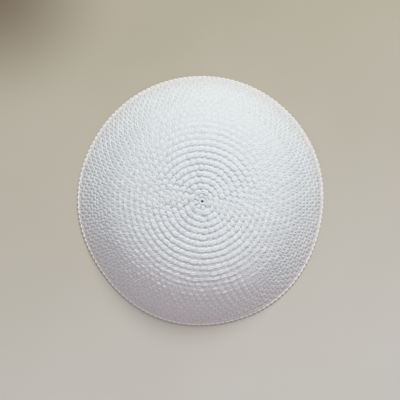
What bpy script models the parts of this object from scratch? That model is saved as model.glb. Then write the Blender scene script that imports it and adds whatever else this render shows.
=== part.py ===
"""A round crocheted skullcap, lying on its rim with the crown up.

Metres, +Z up. The origin is in the surface that the cap lies on, at the centre of the
cap's bounding box. The cap is worked from the middle of the crown outwards: a small
start ring, the rounds of the crown, and a narrow edging along the rim.
"""

import math

import bpy
import numpy as np

# The whole cap
RIM_DIAMETER = 0.170
CAP_HEIGHT = 0.044

# The crocheted wall: its thickness is measured over the crests of the rounds
FABRIC_THICKNESS = 0.0034
OUTER_GROOVE_DEPTH = 0.0010
INNER_GROOVE_DEPTH = 0.0006
ROUNDS = 24

# The edging, a flat braid under the foot of the wall
EDGING_WIDTH = 0.0036
EDGING_HEIGHT = 0.0024
EDGING_ROUNDING = 0.0008
EDGING_PROUD = 0.0005

# The start ring, a closed loop of yarn in the middle of the crown
START_RING_DIAMETER = 0.0050
START_RING_YARN = 0.0018

# Between pieces that touch
CLEARANCE = 0.0003

# The apex lies a little off the middle of the rim, towards +X and -Y
APEX_SHIFT = (0.0006, -0.0006)

SEGMENTS = 64
START_RING_SEGMENTS = 20
START_RING_SIDES = 8

# The middle of the wall, from the apex to the foot: share of the foot's radius, share of the rise
DOME = [
    # radius, height
    (0.000, 1.000),
    (0.190, 0.997),
    (0.375, 0.962),
    (0.560, 0.860),
    (0.720, 0.668),
    (0.848, 0.392),
    (0.925, 0.186),
    (1.000, 0.000),
]

# The soft rim is not a true circle: waves round the rim, share of the radius, angle of a high point
UNEVEN_RIM = [
    # waves, share, degrees
    (2, 0.0080, 90),
    (3, 0.0040, 45),
    (5, 0.0035, 30),
    (6, 0.0025, 8),
]

WHITE_COTTON = (0.80, 0.82, 0.85, 1.0)
COTTON_ROUGHNESS = 0.9


def clear_scene():
    for obj in list(bpy.data.objects):
        bpy.data.objects.remove(obj)


def cotton(name):
    material = bpy.data.materials.new(name)
    material.use_nodes = True
    shader = material.node_tree.nodes["Principled BSDF"]
    shader.inputs["Base Color"].default_value = WHITE_COTTON
    shader.inputs["Roughness"].default_value = COTTON_ROUGHNESS
    shader.inputs["Metallic"].default_value = 0.0
    return material


def smooth_line(points, steps=40):
    """A Catmull-Rom line through the points, with its end directions carried straight on."""
    knots = np.array([2 * points[0] - points[1], *points, 2 * points[-1] - points[-2]])
    line = []
    for before, start, end, after in zip(knots, knots[1:], knots[2:], knots[3:]):
        for t in np.linspace(0.0, 1.0, steps, endpoint=False):
            line.append(
                0.5 * (2 * start + (end - before) * t
                       + (2 * before - 5 * start + 4 * end - after) * t ** 2
                       + (3 * start - before - 3 * end + after) * t ** 3)
            )
    line.append(points[-1])
    return np.array(line)


class WallLine:
    """The middle of the wall in the (radius, height) plane, measured along its length."""

    def __init__(self, foot_radius, foot_height, apex_height):
        rise = apex_height - foot_height
        points = [np.array([share_r * foot_radius, foot_height + share_z * rise]) for share_r, share_z in DOME]
        self.line = smooth_line(points)
        steps = np.linalg.norm(np.diff(self.line, axis=0), axis=1)
        self.distance = np.concatenate([[0.0], np.cumsum(steps)])
        self.length = float(self.distance[-1])

    def point(self, distance):
        return np.array([np.interp(distance, self.distance, self.line[:, k]) for k in (0, 1)])

    def outward(self, distance):
        """The unit normal that points out of the cap."""
        reach = self.length / 200
        ahead = self.point(min(distance + reach, self.length)) - self.point(max(distance - reach, 0.0))
        ahead /= np.linalg.norm(ahead)
        return np.array([-ahead[1], ahead[0]])


def turned(name, profile, segments, material):
    """A closed (radius, height) outline turned round the Z axis, as a plain mesh object."""
    count = len(profile)
    mesh = bpy.data.meshes.new(name + "_outline")
    mesh.from_pydata(
        [(radius, 0.0, height) for radius, height in profile],
        [(i, (i + 1) % count) for i in range(count)],
        [],
    )
    outline = bpy.data.objects.new(name + "_outline", mesh)
    bpy.context.scene.collection.objects.link(outline)
    screw = outline.modifiers.new("turn", "SCREW")
    screw.axis = "Z"
    screw.angle = math.tau
    screw.steps = segments
    screw.render_steps = segments
    screw.use_smooth_shade = True
    bpy.context.view_layer.update()
    graph = bpy.context.evaluated_depsgraph_get()
    solid = bpy.data.meshes.new_from_object(outline.evaluated_get(graph))
    bpy.data.objects.remove(outline)
    solid.name = name
    solid.materials.clear()
    solid.materials.append(material)
    return bpy.data.objects.new(name, solid)


def crown_outline(wall, opening_radius, foot_radius, foot_height):
    """The wall's section: ribbed outside from the middle to the foot, then back up the inside."""
    half = FABRIC_THICKNESS / 2
    first = opening_radius
    step = (wall.length - first) / (2 * ROUNDS)
    outside = [np.array([opening_radius, wall.point(first)[1] + half - OUTER_GROOVE_DEPTH])]
    for i in range(1, 2 * ROUNDS):
        distance = first + i * step
        depth = 0.0 if i % 2 else OUTER_GROOVE_DEPTH
        outside.append(wall.point(distance) + (half - depth) * wall.outward(distance))
    last = wall.outward(wall.length)
    foot_half_width = half / last[0]
    foot = [
        np.array([foot_radius + foot_half_width, foot_height]),
        np.array([foot_radius - foot_half_width, foot_height]),
    ]
    inside = []
    for i in range(2, 2 * ROUNDS, 2):
        distance = first + i * step
        depth = 0.0 if i % 4 else INNER_GROOVE_DEPTH
        point = wall.point(distance) - (half - depth) * wall.outward(distance)
        if point[1] > foot_height + half:
            inside.append(point)
    inside.append(np.array([opening_radius, wall.point(first)[1] - half]))
    inside[:-1] = inside[-2::-1]
    return outside + foot + inside


def edging_outline(middle_radius):
    """A flat-bottomed braid: straight below and above, rounded at both sides."""
    half = EDGING_WIDTH / 2
    corner = EDGING_ROUNDING
    cut = corner * (1 - math.sqrt(0.5))
    right = [
        (half - corner, EDGING_HEIGHT),
        (half - cut, EDGING_HEIGHT - cut),
        (half, EDGING_HEIGHT - corner),
        (half, corner),
        (half - cut, cut),
        (half - corner, 0.0),
    ]
    left = [(-across, height) for across, height in reversed(right)]
    return [(middle_radius + across, height) for across, height in right + left]


def start_ring_outline(middle_radius, height):
    """The round yarn of the start ring."""
    turn = math.tau / START_RING_SIDES
    radius = START_RING_YARN / 2
    angles = [math.pi / 2 - (i + 0.5) * turn for i in range(START_RING_SIDES)]
    return [(middle_radius + radius * math.cos(a), height + radius * math.sin(a)) for a in angles]


def make_uneven(obj):
    """Moves the points sideways, so that the rim waves and the apex lies off the middle."""
    rim_radius = RIM_DIAMETER / 2
    for vertex in obj.data.vertices:
        x, y = vertex.co.x, vertex.co.y
        near_rim = (math.hypot(x, y) / rim_radius) ** 2
        angle = math.atan2(y, x)
        swell = sum(
            share * math.cos(waves * (angle - math.radians(high)))
            for waves, share, high in UNEVEN_RIM
        )
        grow = 1 + near_rim * swell
        vertex.co.x = x * grow + APEX_SHIFT[0] * (1 - near_rim)
        vertex.co.y = y * grow + APEX_SHIFT[1] * (1 - near_rim)


def centre_over_origin(objects):
    """Puts the middle of all the pieces over the origin, with the underside in z = 0."""
    corners = np.array([vertex.co[:] for obj in objects for vertex in obj.data.vertices])
    low, high = corners.min(axis=0), corners.max(axis=0)
    shift = ((low[0] + high[0]) / 2, (low[1] + high[1]) / 2, low[2])
    for obj in objects:
        for vertex in obj.data.vertices:
            for axis in range(3):
                vertex.co[axis] -= shift[axis]


def build_cap():
    rim_radius = RIM_DIAMETER / 2
    foot_height = EDGING_HEIGHT + CLEARANCE
    apex_height = CAP_HEIGHT - FABRIC_THICKNESS / 2
    # A first line gives the wall's lean at the foot, and so how wide the foot is
    lean = WallLine(rim_radius, foot_height, apex_height)
    foot_half_width = FABRIC_THICKNESS / 2 / lean.outward(lean.length)[0]
    foot_radius = rim_radius - EDGING_PROUD - foot_half_width
    wall = WallLine(foot_radius, foot_height, apex_height)
    opening_radius = START_RING_DIAMETER / 2 + CLEARANCE

    start_ring = turned(
        "start_ring",
        start_ring_outline((START_RING_DIAMETER - START_RING_YARN) / 2, apex_height),
        START_RING_SEGMENTS,
        cotton("start_ring_cotton"),
    )
    crown = turned(
        "crown",
        crown_outline(wall, opening_radius, foot_radius, foot_height),
        SEGMENTS,
        cotton("crown_cotton"),
    )
    edging = turned(
        "edging",
        edging_outline(rim_radius - EDGING_WIDTH / 2),
        SEGMENTS,
        cotton("edging_cotton"),
    )
    return [start_ring, crown, edging]


def main():
    clear_scene()
    collection = bpy.data.collections.new("skullcap")
    bpy.context.scene.collection.children.link(collection)
    pieces = build_cap()
    for piece in pieces:
        collection.objects.link(piece)
        make_uneven(piece)
    centre_over_origin(pieces)


main()
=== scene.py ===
"""A white crocheted skullcap, dressed in its yarn.

Metres, +Z up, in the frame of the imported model. The crown is worked in one spiral from the
start ring to the rim, in single crochet, and its yarn runs on from stitch to stitch. Each
stitch is modelled as the real loops: two legs on the outside, the strands behind them, and
the leaning loop along the top. On the crown that loop is fat and covers the legs, so the
rounds lie there like ropes. Near the rim the legs stand out, as a fine lattice. A core of
matted fibres lies behind the stitches. The first round fans out from the start ring, a loop of
yarn round a small hole, and the rim is closed by a chain of its own, the edging.
"""

import math

import bmesh
import bpy
import numpy as np
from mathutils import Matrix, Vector


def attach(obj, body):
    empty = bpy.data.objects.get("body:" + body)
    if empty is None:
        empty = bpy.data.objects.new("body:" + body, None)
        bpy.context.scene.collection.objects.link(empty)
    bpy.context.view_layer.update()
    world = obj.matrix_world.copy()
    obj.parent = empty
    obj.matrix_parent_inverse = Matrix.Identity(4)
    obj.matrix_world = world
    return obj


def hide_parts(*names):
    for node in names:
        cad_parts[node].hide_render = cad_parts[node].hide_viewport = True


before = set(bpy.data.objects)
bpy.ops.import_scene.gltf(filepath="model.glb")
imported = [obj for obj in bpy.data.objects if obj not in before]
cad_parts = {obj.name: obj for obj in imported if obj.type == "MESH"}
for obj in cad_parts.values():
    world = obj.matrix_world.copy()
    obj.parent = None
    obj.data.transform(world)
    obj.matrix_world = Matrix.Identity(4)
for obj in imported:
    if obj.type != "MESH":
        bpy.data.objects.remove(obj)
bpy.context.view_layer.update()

# The cap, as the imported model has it
RIM_DIAMETER = 0.170
CAP_HEIGHT = 0.044
FABRIC_THICKNESS = 0.0034
EDGING_WIDTH = 0.0036
EDGING_HEIGHT = 0.0024
EDGING_PROUD = 0.0005
START_RING_DIAMETER = 0.0050
START_RING_YARN = 0.0018
CLEARANCE = 0.0003
APEX_SHIFT = (0.0006, -0.0006)

# The middle of the wall, from the apex to the foot: share of the foot's radius, share of the rise
DOME = [
    # radius, height
    (0.000, 1.000),
    (0.190, 0.997),
    (0.375, 0.962),
    (0.560, 0.860),
    (0.720, 0.668),
    (0.848, 0.392),
    (0.925, 0.186),
    (1.000, 0.000),
]

# The soft rim is not a true circle: waves round the rim, share of the radius, angle of a high point
UNEVEN_RIM = [
    # waves, share, degrees
    (2, 0.0080, 90),
    (3, 0.0040, 45),
    (5, 0.0035, 30),
    (6, 0.0025, 8),
]
# How many places round the rim are taken, to find its middle
RIM_SAMPLES = 720
# Directions on the wall are taken over this distance either way
DIRECTION_REACH = 0.0008

# The crochet chart: how many stitches each round has. Near the rim there is a half stitch over,
# so the stitches of each round lie between those of the round before.
ROUND_STITCHES = [
    8, 16, 24, 32, 40, 42,
    48, 55, 57, 62, 70, 72,
    79, 84, 88, 92, 96, 99,
    101.5, 101.5, 101.5, 101.5, 101.5, 101.5,
]
SPIRAL_START = math.radians(-60)

# The tops of the first round start at the first of these distances from the apex and end at the second
FIRST_ROUND_TOPS = (0.0050, 0.0080)
# So do its feet, which are sunk in the start ring's yarn, raised and with a share of the usual depth
FIRST_ROUND_FEET = (0.0023, 0.0028)
FIRST_ROUND_RAISED = 0.0004
FIRST_ROUND_DEPTH = 0.3
# The other rounds are spaced as if this many were gone already, and draw together towards the rim
# to make up for it, with this power of the distance
ROUNDS_GONE = 1.4
DRAW_TOGETHER = 3

# A stitch leans: its foot lies this share of a stitch ahead of its top
LEAN = 0.05
# How far a top follows its own foot when the increases crowd the feet
FOLLOW = 0.35
# The last stitches of the spiral sink to nothing over this share of the round
TAPER = 0.25
# Feet that share a hole: how far apart they lie, in stitches, and what share of their width they keep
SHARED_FEET_APART = 0.5
SHARED_FEET_WIDTH = 0.75
# No foot is narrower than this many times the yarn's radius
NARROWEST_FOOT = 1.2

# The yarn: its radius, the sides of its section, and the steps from one knot of a path to the next
YARN_RADIUS = 0.00086
YARN_SIDES = 6
YARN_STEPS = 1

# One stitch of single crochet: across in stitches, up from foot to top, out in half depths, plumpness.
# On the crown the loop along the top is fat and covers the legs; near the rim the legs stand out.
# The last row leads on to the first row of the next stitch.
SINGLE_CROCHET = [
    # across, up, out and plump on the crown, out and plump near the rim
    (0.60, 0.80, -0.95, 1.05, -0.95, 0.95),
    (0.10, 0.30, -1.10, 1.10, -1.10, 1.00),
    (0.18, -0.22, -0.70, 0.90, -0.50, 0.80),
    (0.24, 0.10, -0.05, 1.05, 0.26, 0.94),
    (0.22, 0.38, 0.06, 1.12, 0.36, 1.00),
    (0.10, 0.68, -0.45, 1.00, 0.10, 0.85),
    (-0.18, 0.68, -0.45, 1.00, 0.10, 0.85),
    (-0.19, 0.38, 0.06, 1.12, 0.36, 1.00),
    (-0.15, 0.10, -0.05, 1.05, 0.26, 0.94),
    (-0.10, -0.22, -0.70, 0.90, -0.50, 0.80),
    (-0.25, 0.40, -1.05, 1.10, -1.05, 1.00),
    (-0.40, 0.88, -0.45, 1.05, -0.60, 0.80),
    (-0.06, 0.89, 0.22, 1.36, -0.35, 0.80),
    (0.42, 0.77, 0.38, 1.50, -0.10, 0.88),
    (0.92, 0.64, 0.22, 1.36, -0.35, 0.80),
    (1.14, 0.78, -0.45, 1.05, -0.60, 0.80),
    (0.96, 0.91, 0.22, 1.36, -0.15, 0.88),
    (0.45, 1.05, 0.38, 1.50, 0.28, 1.02),
    (-0.04, 1.18, 0.22, 1.36, -0.10, 0.88),
    (-0.28, 1.05, -0.60, 1.05, -0.60, 0.90),
]

# The chain of the edging, rounder from knot to knot than the stitches
EDGING_LINKS = 160
EDGING_STEPS = 2
# One link: along in links, over from the inner to the outer side, down in half depths, plumpness
EDGING_LINK = [
    # along, over, down, plump
    (0.00, 0.50, -0.10, 0.75),
    (0.36, 1.00, -0.55, 0.95),
    (0.80, 1.00, -0.75, 1.00),
    (1.16, 0.55, 0.00, 0.75),
    (0.75, 0.12, 0.36, 1.00),
    (0.30, 0.05, 0.30, 1.00),
    (0.00, 0.45, -0.30, 0.90),
    (0.50, 0.50, -0.90, 0.90),
]

# The stitches change from the crown's form to the rim's between these rounds
RELIEF_ROUNDS = (7, 16)

# The loop of the start ring
START_RING_KNOTS = 10
START_RING_SIDES = 10
START_RING_STEPS = 4

# The matted fibres behind the strands: up from foot to top, and how far out they lie
CORE_SECTION = [
    # up, out
    (0.00, 0.0009),
    (0.25, 0.0005),
    (0.42, 0.0003),
    (0.62, 0.0006),
]
# They start this far from the apex, and take this many steps a round
CORE_START = 0.0018
CORE_STEPS = 90
# Points of neighbouring rounds this near are one
CORE_MERGE = 0.00001
# What share of the height in the table they have, from the first round outwards
CORE_HEIGHTS = [
    # round, share
    (0.0, -0.2),
    (0.9, -0.2),
    (1.1, 0.0),
    (5.0, 0.2),
    (8.0, 1.4),
    (12.0, 1.2),
    (19.0, 0.8),
]

# Bands of rounds, each a mesh of its own
BANDS = [
    # first round, last round
    (1, 9),
    (10, 13),
    (14, 17),
    (18, 20),
    (21, 24),
]

# Handwork is uneven: along and up in shares of a stitch, out and round the start ring in metres
JITTER_SEED = 24
JITTER_ALONG = 0.05
JITTER_UP = 0.045
JITTER_OUT = 0.00010
JITTER_START_RING = 0.00006

# Cotton: a white on the plies' crests and a darker colour between them, painted shade in the grooves between
# the plies
CROWN_WHITE = (0.815, 0.850, 0.875, 1)
CROWN_SHADE = (0.77, 0.805, 0.83, 1)
# The core's cotton is darker than the crown's: painted shade, for the dark pits between the stitches
SHADED_CORE_WHITE = (0.74, 0.77, 0.79, 1)
SHADED_CORE_SHADE = (0.67, 0.70, 0.72, 1)
# The edging's cotton is lighter than the crown's: painted light, so the edging looks lit at the foot of the
# wall
LIT_EDGING_WHITE = (0.93, 0.965, 0.975, 1)
LIT_EDGING_SHADE = (0.88, 0.92, 0.93, 1)
# Painted shade and a painted reflection of the warm floor: the cotton is warmer and darker towards the rim,
# fully so at the first height and not at all at the second
RIM_PAINTED_SHADE_AND_BOUNCE = (0.95, 0.905, 0.885, 1)
RIM_PAINTED_SHADE_HEIGHTS = (0.002, 0.014)
COTTON_ROUGHNESS = 0.9
COTTON_SPECULAR = 0.25
SHEEN = 0.25
SHEEN_ROUGHNESS = 0.5

# The twist of the yarn, its loose fibres, and the soft clouds in its colour
PLIES = 3.0
TURNS_PER_METRE = 190.0
PLY_ROUNDNESS = 0.5
FIBRE_SCALE = 5200.0
FIBRE_SHARE = 0.35
CLOUD_SCALE = 90.0
# How far the clouds, the cotton's own uneven tone, and the plies lighten the colour: on the plies' crests it
# is painted light, in their grooves painted shade
CLOUD_LIGHT = 0.5
PAINTED_PLY_LIGHT = 0.6
# How deep its relief is
RELIEF_DEPTH = 0.00016
RELIEF_STRENGTH = 0.5

# The paper: its colours, how much of their change runs from left to right, and its soft clouds
FLOOR_SIZE = 4.0
FLOOR_FAR = (0.49, 0.452, 0.347, 1)
FLOOR_NEAR = (0.65, 0.63, 0.585, 1)
FLOOR_SIDEWAYS = 0.25
FLOOR_CLOUD_SCALE = 7.0
FLOOR_CLOUDS = 0.5
FLOOR_ROUGHNESS = 0.85
# A painted shadow darkens the floor left of and beyond this place, and fades over this distance
PAINTED_CORNER_SHADOW = (0.20, 0.155, 0.10, 1)
CORNER_SHADOW_PLACE = (-0.145, 0.150)
CORNER_SHADOW_FADE = 0.095

# The lights are discs that face the middle of the floor
LIGHTS = [
    # name, place, diameter, watts, colour
    ("window", (0.44, 1.67, 1.85), 1.1, 41, (1.0, 0.99, 0.955)),
    ("fill", (-0.1, -1.4, 0.25), 0.8, 2.6, (1.0, 0.38, 0.43)),
    ("ceiling", (0.0, 0.2, 1.3), 1.2, 1.05, (0.97, 0.99, 1.0)),
]
ROOM_COLOUR = (0.94, 0.96, 1.0, 1)
ROOM_STRENGTH = 0.37

# The photograph is taken from straight above, a hair off the middle
CAMERA_PLACE = (-0.0003, 0.0004, 0.500)
SEEN_WIDTH = 0.275
NEAREST_SEEN = 0.01

# The sockets of a Mix node that take each kind of value, and the output that gives it
MIX_SOCKETS = {"FLOAT": ("Float", 0), "VECTOR": ("Vector", 1), "RGBA": ("Color", 2)}


def smooth_line(points, steps=40):
    """A Catmull-Rom line through the points, with its end directions carried straight on."""
    knots = np.array([2 * points[0] - points[1], *points, 2 * points[-1] - points[-2]])
    line = []
    for before, start, end, after in zip(knots, knots[1:], knots[2:], knots[3:]):
        for t in np.linspace(0.0, 1.0, steps, endpoint=False):
            line.append(
                0.5 * (2 * start + (end - before) * t
                       + (2 * before - 5 * start + 4 * end - after) * t ** 2
                       + (3 * start - before - 3 * end + after) * t ** 3)
            )
    line.append(points[-1])
    return np.array(line)


class Wall:
    """The middle surface of the wall: a place is a distance from the apex and an angle round Z."""

    def __init__(self):
        rim_radius = RIM_DIAMETER / 2
        self.foot_height = EDGING_HEIGHT + CLEARANCE
        self.apex_height = CAP_HEIGHT - FABRIC_THICKNESS / 2
        self.draw(rim_radius)
        lean = self.line[-1] - self.line[-2]
        upright = -lean[1] / np.linalg.norm(lean)
        foot_half_width = FABRIC_THICKNESS / 2 / upright
        self.draw(rim_radius - EDGING_PROUD - foot_half_width)
        self.shift = np.zeros(3)
        rim = self.uneven(*polar(rim_radius, np.linspace(0, math.tau, RIM_SAMPLES)), 0.0)
        self.shift[:2] = -(rim.min(axis=0) + rim.max(axis=0))[:2] / 2

    def draw(self, foot_radius):
        rise = self.apex_height - self.foot_height
        points = [
            np.array([share_r * foot_radius, self.foot_height + share_z * rise])
            for share_r, share_z in DOME
        ]
        line = smooth_line(points)
        steps = np.linalg.norm(np.diff(line, axis=0), axis=1)
        self.length = float(steps.sum())
        # The line goes straight on past the foot, for stitches that reach below it
        beyond = line[-1] + (line[-1] - line[-2]) / steps[-1] * FABRIC_THICKNESS
        self.line = np.vstack([line, beyond])
        steps = np.linalg.norm(np.diff(self.line, axis=0), axis=1)
        self.distance = np.concatenate([[0.0], np.cumsum(steps)])

    def uneven(self, x, y, z):
        """The place of a point once the rim waves and the apex lies off the middle."""
        near_rim = (x ** 2 + y ** 2) / (RIM_DIAMETER / 2) ** 2
        angle = np.arctan2(y, x)
        swell = sum(share * np.cos(waves * (angle - math.radians(high))) for waves, share, high in UNEVEN_RIM)
        grow = 1 + near_rim * swell
        return np.stack([
            x * grow + APEX_SHIFT[0] * (1 - near_rim) + self.shift[0],
            y * grow + APEX_SHIFT[1] * (1 - near_rim) + self.shift[1],
            z + 0 * x,
        ], axis=-1)

    def place(self, distance, angle):
        radius = np.interp(distance, self.distance, self.line[:, 0])
        height = np.interp(distance, self.distance, self.line[:, 1])
        return self.uneven(*polar(radius, angle), height)

    def directions(self, distance, angle):
        """Unit vectors along the round (anticlockwise) and out of the cap."""
        reach = DIRECTION_REACH
        down = self.place(distance + reach, angle) - self.place(np.maximum(distance - reach, 0), angle)
        turn = reach / np.maximum(np.interp(distance, self.distance, self.line[:, 0]), reach)
        along = self.place(distance, angle + turn) - self.place(distance, angle - turn)
        outward = np.cross(down, along)
        return unit(along), unit(outward)


def polar(radius, angle):
    return radius * np.cos(angle), radius * np.sin(angle)


def unit(vectors):
    return vectors / np.linalg.norm(vectors, axis=-1, keepdims=True)


def top_distances(turns, wall):
    """How far from the apex the tops lie, after so many turns of the spiral."""
    rounds = len(ROUND_STITCHES)
    first, after_one = FIRST_ROUND_TOPS
    pitch = (wall.length - after_one) / (rounds - ROUNDS_GONE)

    def plain(turn):
        return np.where(turn < 1, first + (after_one - first) * turn, after_one + pitch * (turn - 1))

    def tapered(turn):
        """The last round keeps its height until the taper and ends level with the round before."""
        share = np.clip((rounds - turn) / TAPER, 0, 1)
        height = share * share * (3 - 2 * share)
        return plain(turn - 1) + (plain(turn) - plain(turn - 1)) * height

    last = rounds - 1 + np.mod(turns, 1.0)
    distances = np.where(turns > rounds - 1, tapered(turns), plain(turns))
    spare = wall.length - tapered(last)
    return distances + spare * (distances / wall.length) ** DRAW_TOGETHER


def crochet(wall):
    """Works the spiral: for each stitch its foot, its top, and the directions at both."""
    rng = np.random.default_rng(JITTER_SEED)
    rounds = len(ROUND_STITCHES)
    worked = np.concatenate([[0], np.cumsum(ROUND_STITCHES)])
    count = int(worked[-1])
    number = np.arange(count) + 0.5
    turns = np.interp(number, worked, np.arange(rounds + 1))
    angles = SPIRAL_START + math.tau * turns
    spacing = math.tau / np.interp(turns, np.arange(rounds) + 0.5, ROUND_STITCHES)

    # Each stitch goes in between two tops of the round before
    slots = np.interp(np.maximum(turns - 1, 0), np.arange(rounds + 1), worked) + LEAN
    parent = np.rint(slots).astype(int)
    first_round = turns < 1
    shared = np.array([np.sum(parent[~first_round] == p) for p in parent])
    shared[first_round] = 1
    place_in_slot = np.zeros(count)
    for k in range(1, count):
        if not first_round[k - 1] and parent[k] == parent[k - 1]:
            place_in_slot[k] = place_in_slot[k - 1] + 1
    place_in_slot -= (shared - 1) / 2

    foot_angles = np.where(first_round, angles + LEAN * spacing, 0.0)
    foot_distances = FIRST_ROUND_FEET[0] + (FIRST_ROUND_FEET[1] - FIRST_ROUND_FEET[0]) * turns
    top_angles = angles.copy()
    top_places = top_distances(turns, wall)
    along = rng.normal(0, JITTER_ALONG, count)
    up = rng.normal(0, JITTER_UP, count)
    out = rng.normal(0, JITTER_OUT, count)
    stitch_height = wall.length / rounds
    for k in range(count):
        if not first_round[k]:
            p = parent[k]
            before = top_angles[p - 1] if p else top_angles[0] - spacing[0]
            foot_angles[k] = (before + top_angles[p]) / 2 + math.tau
            foot_angles[k] += place_in_slot[k] * SHARED_FEET_APART * spacing[k]
            foot_distances[k] = (top_places[max(p - 1, 0)] + top_places[p]) / 2
            own = foot_angles[k] - LEAN * spacing[k]
            top_angles[k] += FOLLOW * (own - top_angles[k])
        top_angles[k] += along[k] * spacing[k]
        top_places[k] += up[k] * stitch_height

    foot = wall.place(foot_distances, foot_angles)
    top = wall.place(top_places, top_angles)
    foot_along, foot_out = wall.directions(foot_distances, foot_angles)
    top_along, top_out = wall.directions(top_places, top_angles)
    apex = wall.place(0.0, 0.0)[:2]
    width = np.linalg.norm(top[:, :2] - apex, axis=1) * spacing
    # Near the ring, and where feet share a hole, the feet are squeezed
    foot_width = np.linalg.norm(foot[:, :2] - apex, axis=1) * spacing
    foot_width = foot_width * np.where(shared > 1, SHARED_FEET_WIDTH, 1.0)
    depth = FABRIC_THICKNESS / 2 - YARN_RADIUS
    top = top + top_out * out[:, None]
    # The first round fans out from the start ring
    raised = np.where(first_round, FIRST_ROUND_RAISED, 0.0)
    foot = foot + foot_out * raised[:, None]
    foot_depth = np.where(first_round, FIRST_ROUND_DEPTH, 1.0) * depth
    return {
        "turn": turns,
        "rim_share": np.interp(turns, RELIEF_ROUNDS, (0, 1)),
        "foot": foot,
        "top": top,
        "foot_across": foot_along * np.maximum(foot_width, NARROWEST_FOOT * YARN_RADIUS)[:, None],
        "top_across": top_along * width[:, None],
        "foot_out": foot_out * foot_depth[:, None],
        "top_out": top_out * depth,
    }


def rim_links(wall):
    """The frames of the edging's chain: foot on its inner side, top on its outer side."""
    count = EDGING_LINKS
    angles = SPIRAL_START + math.tau * (np.arange(count) + 0.5) / count
    rim_radius = RIM_DIAMETER / 2
    middle = EDGING_HEIGHT / 2
    inner = wall.uneven(*polar(rim_radius - EDGING_WIDTH + YARN_RADIUS, angles), middle)
    outer = wall.uneven(*polar(rim_radius - YARN_RADIUS, angles), middle)
    ahead = wall.uneven(*polar(rim_radius - YARN_RADIUS, angles + math.tau / count), middle)
    along = unit(ahead - outer)
    down = np.tile([0.0, 0.0, -1.0], (count, 1))
    width = np.linalg.norm(ahead - outer, axis=1)[:, None]
    depth = EDGING_HEIGHT / 2 - YARN_RADIUS
    return {
        "rim_share": np.zeros(count),
        "foot": inner,
        "top": outer,
        "foot_across": along * width,
        "top_across": along * width,
        "foot_out": down * depth,
        "top_out": down * depth,
    }


def new_mesh_object(name, places):
    """An object of loose points in the scene."""
    mesh = bpy.data.meshes.new(name)
    mesh.from_pydata([tuple(p) for p in places], [], [])
    obj = bpy.data.objects.new(name, mesh)
    bpy.context.scene.collection.objects.link(obj)
    return obj


def path_guide(name, table):
    """A stitch's path as points: across, up and out as a position, and what else the table gives.

    A table with one form only, as the edging's, ends in the out and the plumpness of that form.
    """
    guide = new_mesh_object(name, [row[:3] for row in table])
    for label, column in (("plump", 3), ("out_near_rim", -2), ("plump_near_rim", -1)):
        attribute = guide.data.attributes.new(label, "FLOAT", "POINT")
        attribute.data.foreach_set("value", [row[column] for row in table])
    return guide


def stitch_guide(name, stitches, chosen):
    """One point for each stitch, which carries its frame."""
    guide = new_mesh_object(name, stitches["foot"][chosen])
    for key in ("foot", "top", "foot_across", "top_across", "foot_out", "top_out"):
        attribute = guide.data.attributes.new("stitch_" + key, "FLOAT_VECTOR", "POINT")
        attribute.data.foreach_set("vector", stitches[key][chosen].astype(np.float32).ravel())
    share = guide.data.attributes.new("stitch_rim_share", "FLOAT", "POINT")
    share.data.foreach_set("value", stitches["rim_share"][chosen].astype(np.float32))
    return guide


class Tree:
    """A small helper that adds nodes to a tree and links them."""

    def __init__(self, tree):
        self.tree = tree

    def add(self, kind, inputs=(), **settings):
        node = self.tree.nodes.new(kind)
        for key, value in settings.items():
            setattr(node, key, value)
        for key, value in dict(inputs).items():
            self.put(value, next(socket for socket in node.inputs if key in (socket.identifier, socket.name)))
        return node

    def put(self, value, socket):
        """A socket's value: an output to link, or a plain value."""
        if isinstance(value, bpy.types.NodeSocket):
            self.tree.links.new(value, socket)
        elif isinstance(value, bpy.types.Node):
            self.tree.links.new(value.outputs[0], socket)
        else:
            socket.default_value = value

    def mix(self, data_type, first, second, share, **settings):
        """Goes from the first value to the second."""
        kind, output = MIX_SOCKETS[data_type]
        node = self.add(
            "ShaderNodeMix",
            {"Factor_Float": share, "A_" + kind: first, "B_" + kind: second},
            data_type=data_type,
            **settings,
        )
        return node.outputs[output]

    def fading(self, value, start, end):
        """One up to the start, nothing from the end on, and a soft change between them."""
        return self.add(
            "ShaderNodeMapRange",
            {"Value": value, "From Min": start, "From Max": end, "To Min": 1.0, "To Max": 0.0},
            interpolation_type="SMOOTHSTEP",
        )

    def vector_math(self, operation, *values):
        node = self.add("ShaderNodeVectorMath", operation=operation)
        for value, socket in zip(values, node.inputs):
            self.put(value, socket)
        return node.outputs["Vector"]

    def scaled(self, vector, factor):
        return self.add(
            "ShaderNodeVectorMath", {"Vector": vector, "Scale": factor}, operation="SCALE"
        ).outputs["Vector"]

    def math(self, operation, *values):
        node = self.add("ShaderNodeMath", operation=operation)
        for value, socket in zip(values, node.inputs):
            self.put(value, socket)
        return node.outputs[0]


def new_tree(name, kind, inputs, outputs):
    """An empty node group with named inputs and outputs."""
    tree = bpy.data.node_groups.new(name, kind)
    for label, socket_type, value in inputs:
        socket = tree.interface.new_socket(label, in_out="INPUT", socket_type=socket_type)
        if value is not None:
            socket.default_value = value
    for label, socket_type in outputs:
        tree.interface.new_socket(label, in_out="OUTPUT", socket_type=socket_type)
    return Tree(tree)


def named_vector(tree, name):
    return tree.add(
        "GeometryNodeInputNamedAttribute", {"Name": name}, data_type="FLOAT_VECTOR"
    ).outputs["Attribute"]


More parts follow.
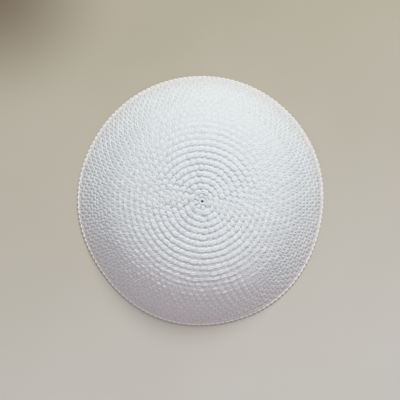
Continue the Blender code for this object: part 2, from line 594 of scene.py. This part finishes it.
def yarn_sweep_tree():
    """Sweeps round yarn along a curve, and stores where each point lies along and round the yarn."""
    tree = new_tree(
        "yarn_sweep",
        "GeometryNodeTree",
        [
            ("Line", "NodeSocketGeometry", None),
            ("Plump", "NodeSocketFloat", 1.0),
            ("Yarn radius", "NodeSocketFloat", YARN_RADIUS),
            ("Sides", "NodeSocketInt", YARN_SIDES),
            ("Steps", "NodeSocketInt", YARN_STEPS),
            ("Closed", "NodeSocketBool", False),
            ("Yarn", "NodeSocketMaterial", None),
        ],
        [("Mesh", "NodeSocketGeometry")],
    )
    given = tree.add("NodeGroupInput").outputs
    closed = tree.add("GeometryNodeSetSplineCyclic", {"Geometry": given["Line"], "Cyclic": given["Closed"]})
    smooth = tree.add("GeometryNodeCurveSplineType", {"Curve": closed}, spline_type="CATMULL_ROM")
    fine = tree.add("GeometryNodeSetSplineResolution", {"Geometry": smooth, "Resolution": given["Steps"]})
    along = tree.add("GeometryNodeSplineParameter").outputs["Length"]
    marked = tree.add(
        "GeometryNodeStoreNamedAttribute",
        {"Geometry": fine, "Name": "yarn_along", "Value": along},
        data_type="FLOAT",
        domain="POINT",
    )
    section = tree.add(
        "GeometryNodeCurvePrimitiveCircle",
        {"Resolution": given["Sides"], "Radius": given["Yarn radius"]},
    )
    turn = tree.math("MULTIPLY", tree.add("GeometryNodeSplineParameter").outputs["Factor"], math.tau)
    circle = tree.add("ShaderNodeCombineXYZ", {"X": tree.math("COSINE", turn), "Y": tree.math("SINE", turn)})
    marked_section = tree.add(
        "GeometryNodeStoreNamedAttribute",
        {"Geometry": section, "Name": "yarn_round", "Value": circle},
        data_type="FLOAT_VECTOR",
        domain="POINT",
    )
    swept = tree.add(
        "GeometryNodeCurveToMesh",
        {"Curve": marked, "Profile Curve": marked_section, "Scale": given["Plump"], "Fill Caps": True},
    )
    shaded = tree.add("GeometryNodeSetShadeSmooth", {"Geometry": swept})
    real = tree.add("GeometryNodeRealizeInstances", {"Geometry": shaded})
    painted = tree.add("GeometryNodeSetMaterial", {"Geometry": real, "Material": given["Yarn"]})
    tree.add("NodeGroupOutput", {"Mesh": painted})
    return tree.tree


def stitch_tree(sweep):
    """Lays one stitch's path into the frame of every stitch, and sweeps the yarn along it."""
    tree = new_tree(
        "crochet_stitches",
        "GeometryNodeTree",
        [
            ("Stitches", "NodeSocketGeometry", None),
            ("Path", "NodeSocketObject", None),
            ("Knots", "NodeSocketInt", 8),
            ("Yarn radius", "NodeSocketFloat", YARN_RADIUS),
            ("Sides", "NodeSocketInt", YARN_SIDES),
            ("Steps", "NodeSocketInt", YARN_STEPS),
            ("Closed", "NodeSocketBool", False),
            ("Yarn", "NodeSocketMaterial", None),
        ],
        [("Mesh", "NodeSocketGeometry")],
    )
    given = tree.add("NodeGroupInput").outputs
    points = tree.add("GeometryNodeMeshToPoints", {"Mesh": given["Stitches"]})
    knots = tree.add(
        "GeometryNodeDuplicateElements", {"Geometry": points, "Amount": given["Knots"]}, domain="POINT"
    )
    number = knots.outputs["Duplicate Index"]
    path = tree.add("GeometryNodeObjectInfo", {"Object": given["Path"]}).outputs["Geometry"]
    place = tree.add(
        "GeometryNodeSampleIndex",
        {"Geometry": path, "Value": tree.add("GeometryNodeInputPosition"), "Index": number},
        data_type="FLOAT_VECTOR",
    )
    sampled = {}
    for label in ("plump", "out_near_rim", "plump_near_rim"):
        stated = tree.add("GeometryNodeInputNamedAttribute", {"Name": label}, data_type="FLOAT")
        sampled[label] = tree.add(
            "GeometryNodeSampleIndex", {"Geometry": path, "Value": stated, "Index": number}, data_type="FLOAT"
        )
    parts = tree.add("ShaderNodeSeparateXYZ", {"Vector": place}).outputs
    share = tree.add("GeometryNodeInputNamedAttribute", {"Name": "stitch_rim_share"}, data_type="FLOAT")
    out = tree.mix("FLOAT", parts["Z"], sampled["out_near_rim"], share)
    middle, across, outward = (
        tree.mix("VECTOR", named_vector(tree, foot), named_vector(tree, top), parts["Y"])
        for foot, top in (
            ("stitch_foot", "stitch_top"),
            ("stitch_foot_across", "stitch_top_across"),
            ("stitch_foot_out", "stitch_top_out"),
        )
    )
    position = tree.vector_math(
        "ADD", middle, tree.vector_math("ADD", tree.scaled(across, parts["X"]), tree.scaled(outward, out))
    )
    plump = tree.mix("FLOAT", sampled["plump"], sampled["plump_near_rim"], share)
    placed = tree.add(
        "GeometryNodeSetPosition", {"Geometry": knots.outputs["Geometry"], "Position": position}
    )
    plumped = tree.add(
        "GeometryNodeStoreNamedAttribute",
        {"Geometry": placed, "Name": "yarn_plump", "Value": plump},
        data_type="FLOAT",
        domain="POINT",
    )
    bare = tree.add(
        "GeometryNodeRemoveAttribute", {"Geometry": plumped, "Name": "stitch_*"}, pattern_mode="WILDCARD"
    )
    line = tree.add("GeometryNodePointsToCurves", {"Points": bare})
    yarn_plump = tree.add("GeometryNodeInputNamedAttribute", {"Name": "yarn_plump"}, data_type="FLOAT")
    swept = tree.add("GeometryNodeGroup", node_tree=sweep)
    tree.put(line, swept.inputs["Line"])
    tree.put(yarn_plump.outputs["Attribute"], swept.inputs["Plump"])
    for label in ("Yarn radius", "Sides", "Steps", "Closed", "Yarn"):
        tree.put(given[label], swept.inputs[label])
    tree.add("NodeGroupOutput", {"Mesh": swept})
    return tree.tree


def made_by(tree, guide, name, inputs):
    """Runs a Geometry Nodes tree on a guide, and keeps the result as a plain mesh."""
    modifier = guide.modifiers.new("make", "NODES")
    modifier.node_group = tree
    identifiers = {item.name: item.identifier for item in tree.interface.items_tree if item.in_out == "INPUT"}
    for label, value in inputs.items():
        modifier[identifiers[label]] = value
    bpy.context.view_layer.update()
    graph = bpy.context.evaluated_depsgraph_get()
    mesh = bpy.data.meshes.new_from_object(guide.evaluated_get(graph))
    mesh.name = name
    obj = bpy.data.objects.new(name, mesh)
    bpy.context.scene.collection.objects.link(obj)
    bpy.data.objects.remove(guide)
    return obj


def yarn_twist_group():
    """The plies of the yarn: a height and a colour that wind along it. The colour is painted shade in the
    grooves between the plies and painted light on their crests.
    """
    tree = new_tree(
        "yarn_twist",
        "ShaderNodeTree",
        [
            ("Plies", "NodeSocketFloat", PLIES),
            ("Turns per metre", "NodeSocketFloat", TURNS_PER_METRE),
            ("White", "NodeSocketColor", CROWN_WHITE),
            ("Shade", "NodeSocketColor", CROWN_SHADE),
            ("Fibre", "NodeSocketFloat", FIBRE_SHARE),
        ],
        [("Color", "NodeSocketColor"), ("Height", "NodeSocketFloat")],
    )
    given = tree.add("NodeGroupInput").outputs
    round_it = tree.add("ShaderNodeAttribute", attribute_name="yarn_round")
    along = tree.add("ShaderNodeAttribute", attribute_name="yarn_along")
    parts = tree.add("ShaderNodeSeparateXYZ", {"Vector": round_it.outputs["Vector"]}).outputs
    angle = tree.math("ARCTAN2", parts["Y"], parts["X"])
    angle_per_metre = tree.math("MULTIPLY", given["Turns per metre"], math.tau)
    wound = tree.math("MULTIPLY", along.outputs["Fac"], angle_per_metre)
    phase = tree.math("MULTIPLY", tree.math("ADD", angle, wound), given["Plies"])
    ply = tree.math("MULTIPLY_ADD", tree.math("COSINE", phase), 0.5, 0.5)
    rounded = tree.math("POWER", ply, PLY_ROUNDNESS)
    place = tree.add("ShaderNodeTexCoord").outputs["Object"]
    fibres = tree.add(
        "ShaderNodeTexNoise", {"Vector": place, "Scale": FIBRE_SCALE, "Detail": 2.0, "Roughness": 0.6}
    ).outputs["Fac"]
    height = tree.math("ADD", rounded, tree.math("MULTIPLY", fibres, given["Fibre"]))
    cloudy = tree.add(
        "ShaderNodeTexNoise", {"Vector": place, "Scale": CLOUD_SCALE, "Detail": 2.0}
    ).outputs["Fac"]
    # The clouds are the cotton's own uneven tone; the plies' share is painted light on their crests and
    # painted shade in their grooves
    light = tree.math("MULTIPLY_ADD", cloudy, CLOUD_LIGHT, tree.math("MULTIPLY", rounded, PAINTED_PLY_LIGHT))
    colour = tree.mix("RGBA", given["Shade"], given["White"], light)
    tree.add("NodeGroupOutput", {"Color": colour, "Height": height})
    return tree.tree


def painted_rim_shade_and_bounce(tree, colour):
    """Painted shade and a painted reflection of the warm floor: the cotton is a little warmer and darker
    towards the rim.
    """
    place = tree.add("ShaderNodeTexCoord").outputs["Object"]
    height = tree.add("ShaderNodeSeparateXYZ", {"Vector": place}).outputs["Z"]
    return tree.mix("RGBA", colour, RIM_PAINTED_SHADE_AND_BOUNCE, tree.fading(height, *RIM_PAINTED_SHADE_HEIGHTS), blend_type="MULTIPLY")


def cotton(name, twist, white, shade):
    """Soft matt cotton: the twist of the yarn in its colour and relief, and a faint sheen. The twist's colour
    is painted shade between the plies, and towards the rim the colour takes painted shade and a painted
    reflection of the floor.
    """
    material = bpy.data.materials.new(name)
    material.use_nodes = True
    tree = Tree(material.node_tree)
    shader = material.node_tree.nodes["Principled BSDF"]
    shader.inputs["Roughness"].default_value = COTTON_ROUGHNESS
    shader.inputs["Sheen Weight"].default_value = SHEEN
    shader.inputs["Sheen Roughness"].default_value = SHEEN_ROUGHNESS
    shader.inputs["Specular IOR Level"].default_value = COTTON_SPECULAR
    wound = tree.add("ShaderNodeGroup", node_tree=twist)
    wound.inputs["White"].default_value = white
    wound.inputs["Shade"].default_value = shade
    tree.put(painted_rim_shade_and_bounce(tree, wound.outputs["Color"]), shader.inputs["Base Color"])
    bump = tree.add(
        "ShaderNodeBump",
        {"Height": wound.outputs["Height"], "Distance": RELIEF_DEPTH, "Strength": RELIEF_STRENGTH},
    )
    tree.put(bump, shader.inputs["Normal"])
    return material


def floor_material():
    """Pale paper, yellower at the far side and whiter at the near side, with a painted shadow over the far
    left corner.
    """
    material = bpy.data.materials.new("pale_paper")
    material.use_nodes = True
    tree = Tree(material.node_tree)
    shader = material.node_tree.nodes["Principled BSDF"]
    shader.inputs["Roughness"].default_value = FLOOR_ROUGHNESS
    place = tree.add("ShaderNodeTexCoord").outputs["Object"]
    parts = tree.add("ShaderNodeSeparateXYZ", {"Vector": place}).outputs
    cloudy = tree.add(
        "ShaderNodeTexNoise", {"Vector": place, "Scale": FLOOR_CLOUD_SCALE, "Detail": 3.0}
    ).outputs["Fac"]
    # From nothing at the photograph's far edge to one at its near edge
    along = tree.math("MULTIPLY_ADD", parts["Y"], -1 / SEEN_WIDTH, 0.5)
    sideways = tree.math("MULTIPLY_ADD", parts["X"], FLOOR_SIDEWAYS / SEEN_WIDTH, along)
    share = tree.math("MULTIPLY_ADD", tree.math("SUBTRACT", cloudy, 0.5), FLOOR_CLOUDS, sideways)
    colour = tree.mix("RGBA", FLOOR_FAR, FLOOR_NEAR, share)
    # Within the corner's own quarter of the floor the painted shadow stays as dark as at its edge
    right_of = tree.math("MAXIMUM", tree.math("SUBTRACT", parts["X"], CORNER_SHADOW_PLACE[0]), 0.0)
    before = tree.math("MINIMUM", tree.math("SUBTRACT", parts["Y"], CORNER_SHADOW_PLACE[1]), 0.0)
    corner = tree.add("ShaderNodeCombineXYZ", {"X": right_of, "Y": before})
    distance = tree.add("ShaderNodeVectorMath", {"Vector": corner}, operation="LENGTH")
    corner_shadow = tree.fading(distance.outputs["Value"], 0.0, CORNER_SHADOW_FADE)
    tree.put(tree.mix("RGBA", colour, PAINTED_CORNER_SHADOW, corner_shadow), shader.inputs["Base Color"])
    return material


def add_floor():
    bpy.ops.mesh.primitive_plane_add(size=FLOOR_SIZE)
    floor = bpy.context.object
    floor.name = "floor"
    floor.data.materials.append(floor_material())


def add_light(name, place, diameter, watts, colour):
    data = bpy.data.lights.new(name, "AREA")
    data.shape = "DISK"
    data.size = diameter
    data.energy = watts
    data.color = colour
    light = bpy.data.objects.new(name, data)
    bpy.context.scene.collection.objects.link(light)
    light.location = place
    to_middle = Vector((0, 0, 0)) - Vector(place)
    light.rotation_euler = to_middle.to_track_quat("-Z", "Y").to_euler()


def add_lights():
    for light in LIGHTS:
        add_light(*light)
    world = bpy.data.worlds.new("room")
    world.use_nodes = True
    world.node_tree.nodes["Background"].inputs["Color"].default_value = ROOM_COLOUR
    world.node_tree.nodes["Background"].inputs["Strength"].default_value = ROOM_STRENGTH
    bpy.context.scene.world = world


def add_camera():
    data = bpy.data.cameras.new("camera")
    data.sensor_fit = "HORIZONTAL"
    data.angle = 2 * math.atan(SEEN_WIDTH / 2 / CAMERA_PLACE[2])
    data.clip_start = NEAREST_SEEN
    camera = bpy.data.objects.new("camera", data)
    bpy.context.scene.collection.objects.link(camera)
    camera.location = CAMERA_PLACE
    bpy.context.scene.camera = camera


def crown_pieces(wall, tree, material):
    """The rounds of the crown, one mesh for each band."""
    stitches = crochet(wall)
    path = path_guide("single_crochet", SINGLE_CROCHET)
    pieces = []
    for first, last in BANDS:
        chosen = (stitches["turn"] >= first - 1) & (stitches["turn"] < last)
        name = f"crown_rounds_{first:02d}_to_{last:02d}"
        guide = stitch_guide(name + "_stitches", stitches, chosen)
        piece = made_by(
            tree, guide, name, {"Path": path, "Knots": len(SINGLE_CROCHET), "Yarn": material}
        )
        pieces.append(piece)
    bpy.data.objects.remove(path)
    return pieces


def core_piece(wall, material):
    """The matted fibres behind the strands: a soft strip that winds along with the rounds."""
    turns = np.linspace(0, len(ROUND_STITCHES), CORE_STEPS * len(ROUND_STITCHES) + 1)
    tops = top_distances(turns, wall)
    feet = np.where(turns < 1, CORE_START, top_distances(np.maximum(turns - 1, 0), wall))
    angles = SPIRAL_START + math.tau * turns
    places = []
    for up, out in [*CORE_SECTION, (1.0, CORE_SECTION[0][1])]:
        distances = feet + (tops - feet) * up
        # The height goes over from round to round without a step, so the strip has no open seam
        height = np.interp(turns + up - 0.5, *zip(*CORE_HEIGHTS))
        outward = wall.directions(distances, angles)[1]
        places.append(wall.place(distances, angles) + (out * height)[:, None] * outward)
    count = len(turns)
    faces = [
        (row * count + i, (row + 1) * count + i, (row + 1) * count + i + 1, row * count + i + 1)
        for row in range(len(places) - 1)
        for i in range(count - 1)
    ]
    mesh = bpy.data.meshes.new("crown_core")
    mesh.from_pydata([tuple(p) for p in np.concatenate(places)], [], faces)
    joined = bmesh.new()
    joined.from_mesh(mesh)
    bmesh.ops.remove_doubles(joined, verts=joined.verts, dist=CORE_MERGE)
    joined.to_mesh(mesh)
    joined.free()
    mesh.materials.append(material)
    mesh.shade_smooth()
    core = bpy.data.objects.new("crown_core", mesh)
    bpy.context.scene.collection.objects.link(core)
    return core


def edging_piece(wall, tree, material):
    """The chain along the rim: one closed strand through all its links."""
    links = rim_links(wall)
    path = path_guide("edging_link", EDGING_LINK)
    guide = stitch_guide("edging_links", links, slice(None))
    piece = made_by(
        tree, guide, "edging_chain",
        {
            "Path": path,
            "Knots": len(EDGING_LINK),
            "Steps": EDGING_STEPS,
            "Closed": True,
            "Yarn": material,
        },
    )
    bpy.data.objects.remove(path)
    return piece


def start_ring_piece(wall, sweep, material):
    """The start ring: one closed loop of yarn."""
    angles = math.tau * np.arange(START_RING_KNOTS) / START_RING_KNOTS
    rng = np.random.default_rng(JITTER_SEED)
    uneven = rng.normal(0, JITTER_START_RING, START_RING_KNOTS)
    radius = (START_RING_DIAMETER - START_RING_YARN) / 2 + uneven
    places = wall.uneven(*polar(radius, angles), wall.apex_height)
    curve = bpy.data.curves.new("ring_line", "CURVE")
    curve.dimensions = "3D"
    spline = curve.splines.new("POLY")
    spline.points.add(START_RING_KNOTS - 1)
    for point, place in zip(spline.points, places):
        point.co = (*place, 1.0)
    guide = bpy.data.objects.new("ring_line", curve)
    bpy.context.scene.collection.objects.link(guide)
    return made_by(
        sweep, guide, "start_ring_loop",
        {
            "Yarn radius": START_RING_YARN / 2,
            "Sides": START_RING_SIDES,
            "Steps": START_RING_STEPS,
            "Closed": True,
            "Yarn": material,
        },
    )


def main():
    wall = Wall()
    twist = yarn_twist_group()
    white = cotton("white_cotton", twist, CROWN_WHITE, CROWN_SHADE)
    # The core's darker cotton is painted shade for the pits between the stitches
    shaded_core_cotton = cotton("core_cotton_painted_pit_shade", twist, SHADED_CORE_WHITE, SHADED_CORE_SHADE)
    # The edging's lighter cotton is painted light
    lit_edging_cotton = cotton("edging_cotton_painted_light", twist, LIT_EDGING_WHITE, LIT_EDGING_SHADE)
    sweep = yarn_sweep_tree()
    stitches = stitch_tree(sweep)
    for piece in crown_pieces(wall, stitches, white):
        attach(piece, "root")
        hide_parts("crown")
    core = core_piece(wall, shaded_core_cotton)
    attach(core, "root")
    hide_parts("crown")
    edging = edging_piece(wall, stitches, lit_edging_cotton)
    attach(edging, "root")
    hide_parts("edging")
    ring = start_ring_piece(wall, sweep, white)
    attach(ring, "root")
    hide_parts("start_ring")
    add_floor()
    add_lights()
    add_camera()
    bpy.context.scene.view_settings.view_transform = "Standard"


main()
